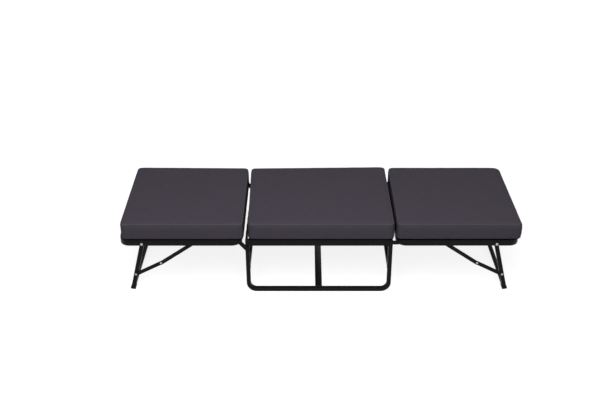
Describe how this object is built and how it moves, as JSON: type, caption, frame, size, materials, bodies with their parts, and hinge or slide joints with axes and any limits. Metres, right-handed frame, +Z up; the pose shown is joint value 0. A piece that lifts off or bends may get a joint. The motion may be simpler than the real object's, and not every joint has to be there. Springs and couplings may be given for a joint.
{
  "type": "folding bed",
  "caption": "Folding bed with a fixed stool in the middle, hinged side sections on folding legs with locking stays, flat slats and boxed fabric cushions.",
  "frame": {"origin": "on the floor under the middle of the stool", "axes": "+X along the bed to the right, +Y to the rear, +Z up"},
  "size_m": [1.9138, 0.617, 0.3843],
  "materials": {
    "cushion_fabric": "plain woven upholstery, dark grey with a slight violet cast",
    "frame_paint": "near-black powder coat, satin",
    "plated_steel": "dull zinc plating",
    "black_plastic": "matte moulded plastic"
  },
  "bodies": {
    "stool": {"front_base_loop": "frame_paint", "rear_base_loop": "frame_paint", "front_seat_rail": "frame_paint", "rear_seat_rail": "frame_paint", "right_side_rail": "frame_paint", "left_side_rail": "frame_paint", "right_stretcher": "frame_paint", "left_stretcher": "frame_paint", "floor_bar": "frame_paint", "middle_slats": "frame_paint", "middle_cushion": "cushion_fabric", "left_front_hinge_plate": "frame_paint", "left_rear_hinge_plate": "frame_paint", "right_front_hinge_plate": "frame_paint", "right_rear_hinge_plate": "frame_paint", "right_hinge_bolts": "frame_paint", "left_hinge_bolts": "frame_paint"},
    "right_section": {"right_ring_frame": "frame_paint", "right_slats": "frame_paint", "right_cushion": "cushion_fabric", "right_leg_pivot_bolts": "plated_steel", "right_leg_spacers": "frame_paint", "right_stay_rail_rivets": "plated_steel"},
    "right_leg": {"right_leg_frame": "frame_paint", "right_leg_caps": "black_plastic", "right_floor_glides": "black_plastic", "right_stay_leg_bolts": "plated_steel"},
    "right_stay_upper": {"right_front_stay_upper": "frame_paint", "right_rear_stay_upper": "frame_paint", "right_stay_rivet_heads": "plated_steel"},
    "right_stay_lower": {"right_front_stay_lower": "frame_paint", "right_rear_stay_lower": "frame_paint", "right_stay_rivet_tails": "plated_steel"},
    "left_section": {"left_ring_frame": "frame_paint", "left_slats": "frame_paint", "left_cushion": "cushion_fabric", "left_leg_pivot_bolts": "plated_steel", "left_leg_spacers": "frame_paint", "left_stay_rail_rivets": "plated_steel"},
    "left_leg": {"left_leg_frame": "frame_paint", "left_leg_caps": "black_plastic", "left_floor_glides": "black_plastic", "left_stay_leg_bolts": "plated_steel"},
    "left_stay_upper": {"left_front_stay_upper": "frame_paint", "left_rear_stay_upper": "frame_paint", "left_stay_rivet_heads": "plated_steel"},
    "left_stay_lower": {"left_front_stay_lower": "frame_paint", "left_rear_stay_lower": "frame_paint", "left_stay_rivet_tails": "plated_steel"}
  },
  "joints": [
    {"name": "right_section_fold", "type": "hinge", "parent": "stool", "child": "right_section", "pos_m": [0.376, 0, 0.282], "axis": [0, 1, 0], "range_deg": [-5, 85]},
    {"name": "right_leg_fold", "type": "hinge", "parent": "right_section", "child": "right_leg", "pos_m": [0.847, 0, 0.27], "axis": [0, 1, 0], "range_deg": [0, 102.2]},
    {"name": "right_stay_upper_fold", "type": "hinge", "parent": "right_section", "child": "right_stay_upper", "pos_m": [0.585, 0, 0.28], "axis": [0, -1, 0], "range_deg": [0, 34.01]},
    {"name": "right_stay_lower_fold", "type": "hinge", "parent": "right_leg", "child": "right_stay_lower", "pos_m": [0.8935, 0, 0.08887], "axis": [0, 1, 0], "range_deg": [0, 44.53]},
    {"name": "left_section_fold", "type": "hinge", "parent": "stool", "child": "left_section", "pos_m": [-0.376, 0, 0.282], "axis": [0, -1, 0], "range_deg": [-5, 85]},
    {"name": "left_leg_fold", "type": "hinge", "parent": "left_section", "child": "left_leg", "pos_m": [-0.847, 0, 0.27], "axis": [0, -1, 0], "range_deg": [0, 102.2]},
    {"name": "left_stay_upper_fold", "type": "hinge", "parent": "left_section", "child": "left_stay_upper", "pos_m": [-0.585, 0, 0.28], "axis": [0, 1, 0], "range_deg": [0, 34.01]},
    {"name": "left_stay_lower_fold", "type": "hinge", "parent": "left_leg", "child": "left_stay_lower", "pos_m": [-0.8935, 0, 0.08887], "axis": [0, -1, 0], "range_deg": [0, 44.53]}
  ],
  "couplings": [
    {"joint": "right_stay_upper_fold", "follows": "right_leg_fold", "ratio": 0.33271},
    {"joint": "right_stay_lower_fold", "follows": "right_leg_fold", "ratio": 0.43562},
    {"joint": "left_stay_upper_fold", "follows": "left_leg_fold", "ratio": 0.33271},
    {"joint": "left_stay_lower_fold", "follows": "left_leg_fold", "ratio": 0.43562}
  ]
}
